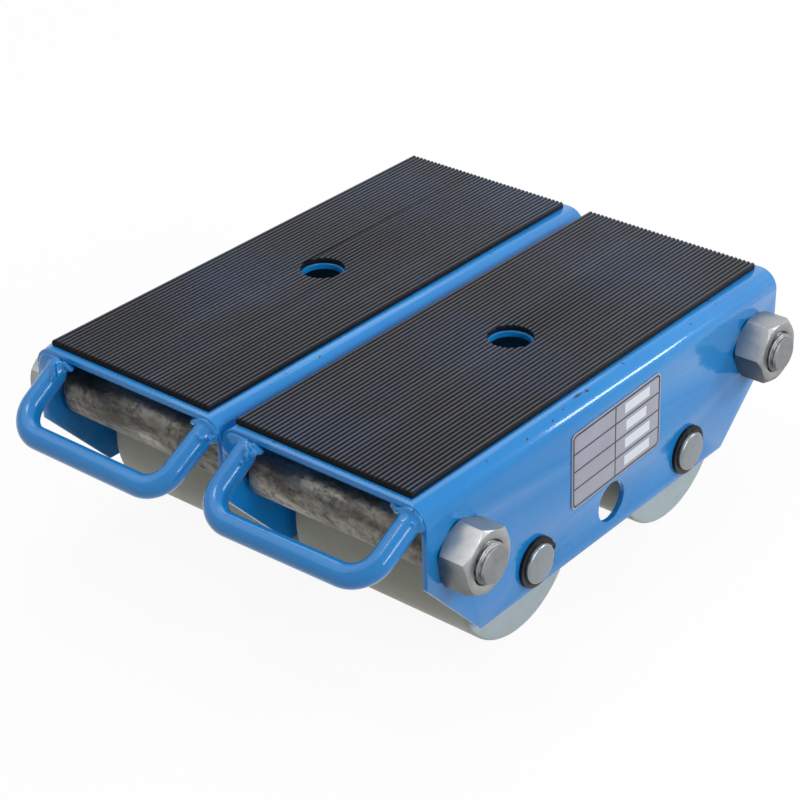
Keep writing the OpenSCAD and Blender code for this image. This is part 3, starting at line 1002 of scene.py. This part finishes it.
for corner in CORNERS:
    half, radius = span(f"pipe_{corner}")
    outline = pipe_outline(half, radius)
    centre = middle(f"pipe_{corner}")
    piece = spun(f"tube_{corner}", outline, centre, GALVANISED, 96, PIPE_WOBBLE)
    place_piece(piece, "chassis", "galvanised_steel", f"pipe_{corner}")
print("pipe", round(2 * half / MM, 1), "mm long")

# %% [markdown]
# ## Tie rods with a true thread
# The CAD thread is a stack of rings. A real thread is a helix, so the radius here depends on
# both the place along the rod and the angle round it: one turn moves the profile one pitch.

# %% Work out the thread's radius
PITCH = 2.5 * MM
THREAD_DEPTH = 1.45 * MM
THREAD_LENGTH = 35 * MM
LEAD_IN = 2 * MM
CREST_WIDTH, FLANK_SLOPE = 1.35, 3.4


def thread_radius(x, turn, radius, half):
    """Radius at a place along the rod, with a lead-in chamfer at each end."""
    from_end = half - abs(x)
    lead = min(1.0, max(0.0, from_end / LEAD_IN))
    if from_end > THREAD_LENGTH:
        return radius - THREAD_DEPTH * 0.5
    phase = (x / PITCH + turn / TAU) % 1
    ridge = min(1.0, max(0.0, CREST_WIDTH - abs(phase - 0.5) * FLANK_SLOPE))
    return radius - THREAD_DEPTH + THREAD_DEPTH * ridge * lead


print("the thread is", THREAD_DEPTH / MM, "mm deep, with a pitch of", PITCH / MM, "mm")

# %% Wind the threads
STEPS_PER_PITCH = 10
ROUND_STEPS = 48
PLAIN_STEPS = 5


def threaded_rod(name, centre, half, radius):
    """Rings of points along the rod, close together on the thread, far apart between."""
    steps = int(THREAD_LENGTH / PITCH * STEPS_PER_PITCH)
    wound = [-half + THREAD_LENGTH * i / steps for i in range(steps + 1)]
    plain = [x * half / PLAIN_STEPS for x in range(-3, 4)]
    stations = wound + plain + [-x for x in reversed(wound)]
    points, faces = [], []
    for x in stations:
        for i in range(ROUND_STEPS):
            turn = TAU * i / ROUND_STEPS
            r = thread_radius(x, turn, radius, half)
            points.append((
                centre.x + x, centre.y + r * math.cos(turn), centre.z + r * math.sin(turn)
            ))
    for s in range(len(stations) - 1):
        for i in range(ROUND_STEPS):
            k = (i + 1) % ROUND_STEPS
            a, b = s * ROUND_STEPS, (s + 1) * ROUND_STEPS
            faces.append((a + i, b + i, b + k, a + k))
    last = len(points) - ROUND_STEPS
    faces.append(tuple(range(ROUND_STEPS)))
    faces.append(tuple(range(len(points) - 1, last - 1, -1)))
    mesh = bpy.data.meshes.new(name)
    mesh.from_pydata(points, [], faces)
    mesh.shade_smooth()
    mesh.set_sharp_from_angle(angle=math.radians(50))
    mesh.materials.append(ROD_ZINC)
    return link(name, mesh)


for end in ENDS:
    half, radius = span(f"rod_{end}")
    piece = threaded_rod(f"thread_{end}", middle(f"rod_{end}"), half, radius)
    place_piece(piece, "chassis", "zinc_steel", f"rod_{end}")
print(len(piece.data.polygons), "faces a rod")

# %% [markdown]
# ## Handles
# Each handle is one round bar, bent twice and welded to the front corners of its frame. Its
# path comes first: down one leg, round a bend, along the cross bar and up the other leg. The
# legs lean on one slope, so a point on the path is an x and a distance up that slope.

# %% Plan the path of a handle
BEND_RADIUS = 14.5 * MM
BEND_STEPS = 14
LEG_STEPS = 4
LEG_OVERRUN = 3 * MM
LEG_TOP_DROP = 8.5 * MM
BAR_RADIUS = 5.75 * MM
bar_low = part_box("handle_right")[0]
# From the middle of each frame: the bar's two bends, the legs' two tops, how far the bar
# sags, and how much lower its left end hangs. Bent and welded by hand, no two agree.
HANDLE_SET = {
    "left": (-47.4 * MM, 47.6 * MM, -45.6 * MM, 50.8 * MM, -2.0 * MM, 0.0 * MM),
    "right": (-45.3 * MM, 48.9 * MM, -43.6 * MM, 50.3 * MM, -0.4 * MM, 2.0 * MM),
}


def leg(bar_x, top_x, reach):
    """Points from a leg's top down to its bend, as (x, distance up the slope)."""
    top = reach + LEG_OVERRUN
    lean_in, drop = bar_x - top_x, BEND_RADIUS - top
    return [
        (top_x + lean_in * i / LEG_STEPS, top + drop * i / LEG_STEPS)
        for i in range(LEG_STEPS)
    ]


def bend(bar_x, inward):
    """A quarter turn from a leg into the cross bar."""
    turns = [math.pi / 2 * i / BEND_STEPS for i in range(BEND_STEPS + 1)]
    return [
        (bar_x + inward * BEND_RADIUS * (1 - math.cos(a)), BEND_RADIUS * (1 - math.sin(a)))
        for a in turns
    ]


def handle_path(side):
    """Centre line from the left leg's top, round the cross bar, to the right leg's top."""
    left_x, right_x, left_top, right_top, sag, tilt = HANDLE_SET[side]
    centre_x = middle(f"frame_{side}").x
    origin = Vector((centre_x, bar_low.y + BAR_RADIUS, bar_low.z + BAR_RADIUS + sag))
    leg_top = Vector((0, front_face, deck_height - LEG_TOP_DROP))
    lean = leg_top - Vector((0, origin.y, origin.z))
    reach = lean.length
    lean.normalize()
    path = leg(left_x, left_top, reach) + bend(left_x, 1)
    path += reversed(leg(right_x, right_top, reach) + bend(right_x, -1))
    slope = tilt / (right_x - left_x)
    return [
        origin + Vector((x, 0, slope * x * max(0.0, 1 - v / reach))) + lean * v
        for x, v in path
    ]


for side in SIDES:
    path = handle_path(side)
    length = sum((after - before).length for before, after in zip(path, path[1:]))
    print(f"{side} handle: {len(path)} points, {length / MM:.0f} mm of bar")

# %% [markdown]
# A curve with a round bevel could sweep the bar too, but the welds have to join the same mesh
# before the remesh that comes later. So the bar is swept in mesh code: a ring of points
# square to the path at each of its points, joined by faces.

# %% Sweep the bar along its path
BAR_SIDES = 40
FACING_OUT = Vector((0, -0.6, 0.8))


def swept_bar(path):
    """The points and faces of a round bar with both ends closed."""
    points, faces = [], []
    for i, here in enumerate(path):
        ahead = path[min(i + 1, len(path) - 1)] - path[max(i - 1, 0)]
        ahead.normalize()
        sideways = ahead.cross(FACING_OUT).normalized()
        over = sideways.cross(ahead)
        for k in range(BAR_SIDES):
            turn = TAU * k / BAR_SIDES
            point = here + sideways * BAR_RADIUS * math.cos(turn)
            points.append(point + over * BAR_RADIUS * math.sin(turn))
    for i in range(len(path) - 1):
        a, b = i * BAR_SIDES, (i + 1) * BAR_SIDES
        for k in range(BAR_SIDES):
            m = (k + 1) % BAR_SIDES
            faces.append((a + k, a + m, b + m, b + k))
    faces.append(tuple(range(BAR_SIDES - 1, -1, -1)))
    faces.append(tuple(range(len(points) - BAR_SIDES, len(points))))
    return points, faces


print("a swept bar has", len(swept_bar(path)[1]), "faces")

# %% [markdown]
# ## Welds
# The welds were laid by hand and then painted over. Each is a web of metal between a leg,
# the underside of the deck and the side plate's front edge, and none may stand out past the
# plate's rounded fold. The web is a grid of small overlapping balls, whose sizes vary a
# little by a seeded dice, so that they are the same on each run.

# %% Fill the corners with weld
WELD_SEED = 7
PLATE_HALF = 1.5 * MM
FOLD_RADIUS = 10 * MM
FOLD_REACH = {"near": 7.9 * MM, "far": 7.2 * MM}
NEAR_GAP = 10 * MM
WEB_PITCH = 1.5 * MM
WEB_TOP = 3.6 * MM
WEB_HEIGHT, WEB_SPREAD = 5 * MM, 0.7
LUMP_SUNK = 1.0 * MM


def inside_fold(x, z, plate_x, outward, reach):
    """Pull a ball back until it stays within the rounded corner of the folded plate."""
    hub_x = plate_x + outward * (PLATE_HALF - FOLD_RADIUS)
    hub = Vector((hub_x, deck_height - FOLD_RADIUS))
    arm = Vector((x, z)) - hub
    if arm.x * outward > 0 and arm.y > 0 and arm.length > reach:
        arm *= reach / arm.length
    return hub.x + arm.x, hub.y + arm.y


def weld_web(seat, plate_x, dice):
    """Balls, as (centre, radius) pairs, that fill the corner beside a leg."""
    gap = plate_x - seat.x
    outward = math.copysign(1, gap)
    fold_reach = FOLD_REACH["near" if abs(gap) < NEAR_GAP else "far"]
    bottom = WEB_HEIGHT + WEB_SPREAD * abs(gap)
    columns = max(3, round(abs(gap) / WEB_PITCH))
    rows = round((bottom - 3 * MM) / WEB_PITCH)
    lumps = []
    for i in range(columns + 1):
        across = i / columns
        for k in range(rows + 1):
            down = k / rows
            radius = (1.9 - 0.45 * across + dice.uniform(-0.12, 0.12)) * MM
            forward = (1 - across) * (0.8 + 4.2 * down) * MM
            fall = (bottom - WEB_TOP) * down * (1 - 0.15 * across)
            x, z = seat.x + gap * across, deck_height - WEB_TOP - fall
            x, z = inside_fold(x, z, plate_x, outward, fold_reach)
            y = front_face + radius - LUMP_SUNK - forward * 0.8
            lumps.append((Vector((x, y, z)), radius))
    return lumps


print("weld lumps are", WEB_PITCH / MM, "mm apart")

# %% [markdown]
# Over each leg's top the weld bulges in a ring, and at its inner side it runs out in a toe.
# The round beads of spatter are each put where the photograph shows one.

# %% Add the ring, the toe and the spatter
RING_LUMPS = 13
RING_START, RING_TURN = -70, 150
TOE_LUMPS = 4
# Each bead's place in mm from the middle of the leg's seat, and its radius in mm.
SPATTER = {
    ("left", 1): ((1.8, -4.8, 4.8, 1.5), (3.0, -5.8, 3.2, 1.4), (4.2, -6.8, 1.5, 1.3),
                  (4.6, -8.8, -0.2, 1.0)),
    ("left", -1): ((4.3, -6.6, 1.6, 1.3), (6.6, -3.4, 0.6, 1.3), (1.0, -6.4, 2.0, 0.7)),
    ("right", 1): ((3.9, -3.9, 3.8, 1.7), (5.2, -5.6, 1.9, 1.6), (5.0, -8.4, -0.4, 1.2),
                   (6.4, -2.0, 2.0, 1.6), (-3.4, -12.2, -2.9, 0.9)),
    ("right", -1): ((-1.0, -4.9, 2.6, 1.3), (2.0, -6.0, 0.8, 1.1), (4.2, -3.0, 2.2, 1.2),
                    (-9.8, 1.2, 4.2, 1.8)),
}


def weld_ring(seat, inward, near, dice):
    """Lumps over the top of a leg, larger where the side plate is near."""
    size, rise = (1.7 * MM, 6.3 * MM) if near else (1.35 * MM, 4.9 * MM)
    lumps = []
    for i in range(RING_LUMPS):
        turn = math.radians(RING_START + RING_TURN * i / (RING_LUMPS - 1))
        place = seat + Vector((
            -inward * BAR_RADIUS * math.sin(turn),
            (-0.2 + dice.uniform(-0.2, 0.2)) * MM,
            rise * math.cos(turn),
        ))
        lumps.append((place, size * (1 - 0.3 * abs(i - 6) / 6)))
    return lumps


def weld_toe(seat, inward, dice):
    """A tail of shrinking lumps on the leg's inner side."""
    lumps = []
    for i in range(TOE_LUMPS):
        place = seat + Vector((
            inward * (4.6 + 1.1 * i) * MM,
            (0.6 + dice.uniform(-0.2, 0.2)) * MM,
            (3.9 - 0.5 * i + dice.uniform(-0.2, 0.2)) * MM,
        ))
        lumps.append((place, (2.1 - 0.15 * i) * MM))
    return lumps


def weld_lumps(seat, inward, plate_x, beads, dice):
    near = abs(plate_x - seat.x) < NEAR_GAP
    lumps = weld_web(seat, plate_x, dice)
    lumps += weld_ring(seat, inward, near, dice)
    lumps += weld_toe(seat, inward, dice)
    return lumps + [(seat + Vector(bead[:3]) * MM, bead[3] * MM) for bead in beads]


print(sum(len(beads) for beads in SPATTER.values()), "beads of spatter")

# %% [markdown]
# Bar, weld and paint flow into each other on the real handles. So the bar is cut off at the
# frame's front face, the balls are added to the same mesh, and a fine voxel remesh fuses
# them all into one skin, which is then smoothed as thick paint would.

# %% Fuse each bar with its welds
VOXEL = 0.5 * MM
CUT_BEHIND = 0.3 * MM
SMOOTH_ROUNDS = 10


def cut_flush(builder):
    """Cut off what lies behind the frame's front face, and close the cut."""
    cut = bmesh.ops.bisect_plane(
        builder, geom=builder.verts[:] + builder.edges[:] + builder.faces[:],
        plane_co=(0, front_face + CUT_BEHIND, 0), plane_no=(0, 1, 0), clear_outer=True,
    )
    rim = [edge for edge in cut["geom_cut"] if isinstance(edge, bmesh.types.BMEdge)]
    bmesh.ops.holes_fill(builder, edges=rim)


def fused_handle(side):
    dice = random.Random(WELD_SEED if side == "left" else WELD_SEED + 1)
    path = handle_path(side)
    low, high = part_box(f"frame_{side}")
    points, faces = swept_bar(path)
    builder = bmesh.new()
    verts = [builder.verts.new(p) for p in points]
    for face in faces:
        builder.faces.new([verts[i] for i in face])
    cut_flush(builder)
    for leg_top, inward in ((path[0], 1), (path[-1], -1)):
        seat = Vector((leg_top.x, front_face, deck_height - LEG_TOP_DROP))
        plate_x = low.x + PLATE_HALF if inward > 0 else high.x - PLATE_HALF
        beads = SPATTER[side, inward]
        for centre, radius in weld_lumps(seat, inward, plate_x, beads, dice):
            bmesh.ops.create_icosphere(
                builder, subdivisions=3, radius=radius, matrix=Matrix.Translation(centre)
            )
    mesh = bpy.data.meshes.new(f"bar_{side}")
    builder.to_mesh(mesh)
    builder.free()
    mesh.materials.append(BLUE_ENAMEL)
    piece = link(f"bar_{side}", mesh)
    skin = piece.modifiers.new("fuse", "REMESH")
    skin.mode = "VOXEL"
    skin.voxel_size = VOXEL
    skin.use_smooth_shade = True
    smooth = piece.modifiers.new("settle", "SMOOTH")
    smooth.factor = 0.5
    smooth.iterations = SMOOTH_ROUNDS
    return piece


for side in SIDES:
    piece = fused_handle(side)
    place_piece(piece, "chassis", "blue_paint", f"handle_{side}", f"weld_{side}")
print("fused with voxels of", VOXEL / MM, "mm")

# %% [markdown]
# ## Floor
# The picture is a studio cut-out on white. The floor turns white for the camera and for
# reflections, through Light Path, but still darkens under the skate. What light it sends
# back up is that of a plain pale grey.

# %% Lay the floor
FLOOR_HALF = 6.0
FLOOR_CORNERS = ((-1, -1), (1, -1), (1, 1), (-1, 1))
CUT_OUT = 0.93
FLOOR_BOUNCE = (0.50, 0.49, 0.47)
PAPER_WHITE = (0.95, 0.95, 0.95)


def seen_directly(nodes):
    """1 for camera, mirror and glass rays, 0 for rays that light something."""
    rays = ("Is Camera Ray", "Is Glossy Ray", "Is Transmission Ray")
    camera_ray, glossy_ray, glass_ray = (nodes.node("LightPath", output=ray) for ray in rays)
    return (camera_ray + glossy_ray + glass_ray).clamped()


def white_paper():
    f = Finish("white paper")
    direct = seen_directly(f)
    f.surface(Base_Color=f.mix(direct, FLOOR_BOUNCE, PAPER_WHITE), Roughness=0.9)
    glow = f.node("Emission", None, {"Color": (1, 1, 1), "Strength": 1.0})
    sockets = {0: direct * CUT_OUT, 1: Wire(f.shader.outputs[0]), 2: glow}
    plug(f.node("MixShader", None, sockets), f.tree.nodes["Material Output"].inputs["Surface"])
    return f.material


floor_mesh = bpy.data.meshes.new("floor")
floor_mesh.from_pydata(
    [(x * FLOOR_HALF, y * FLOOR_HALF, 0) for x, y in FLOOR_CORNERS], [], [(0, 1, 2, 3)]
)
floor_mesh.materials.append(white_paper())
floor = link("floor", floor_mesh)
print("floor", 2 * FLOOR_HALF, "m square")

# %% [markdown]
# ## Tent and lamps
# The world is a soft white tent. A long thin softbox on the right, turned to lie along the
# handles' legs, draws the highlights down them. A narrow one behind the right corner draws
# the thin line on the folded edge, and a small one above puts the sparks on threads and
# nuts. The wide one and the one behind are so dim for their size that shiny paint takes them
# for the tent: they fill the shadows and show no edge.

# %% Raise the white tent
WORLD_LEVEL = 0.30
world = bpy.data.worlds.new("tent")
bpy.context.scene.world = world
world.use_nodes = True
tent = NodeTree(world.node_tree)
background = tent.tree.nodes["Background"]
tent_level = WORLD_LEVEL + seen_directly(tent) * (1 - WORLD_LEVEL)
plug(tent_level, background.inputs["Strength"])
plug((1, 1, 1), background.inputs["Color"])
print("world level", WORLD_LEVEL)

# %% Hang the lamps
AIM_HEIGHT = 60 * MM


def softbox(name, direction, distance, size, power, colour=(1, 1, 1), turn=0, faces=None):
    """A rectangular area light, turned in its own plane by degrees.

    It faces the middle of the skate, or back along another direction.
    """
    lamp = bpy.data.lights.new(name, "AREA")
    lamp.shape = "RECTANGLE"
    lamp.size, lamp.size_y = size
    lamp.energy = power
    lamp.color = colour
    box = link(name, lamp)
    out = Vector(direction).normalized()
    box.location = Vector((0, 0, AIM_HEIGHT)) + out * distance
    aimed = Vector(faces or out).to_track_quat("Z", "Y")
    rolled = Quaternion((0, 0, 1), math.radians(turn))
    box.rotation_euler = (aimed @ rolled).to_euler()


softbox("key", (0.879, -0.133, 0.454), 1.73, (0.30, 0.95), 10.5, turn=-56)
softbox(
    "window", (0.603, 0.690, 0.392), 1.632, (0.78, 0.20), 10,
    colour=(0.88, 0.97, 1.0), faces=(0.83, 0, 0.56),
)
softbox("spark", (-0.12, -0.30, 0.945), 1.8, (0.30, 0.45), 4)
softbox("wide", (-0.36, -0.16, 0.92), 2.0, (2.0, 2.0), 12)
softbox("ceiling", (-0.35, 0.50, 0.79), 1.8, (1.0, 1.0), 5)
bpy.context.scene.view_settings.view_transform = "Standard"
print("lamps:", ", ".join(lamp.name for lamp in bpy.data.lights))
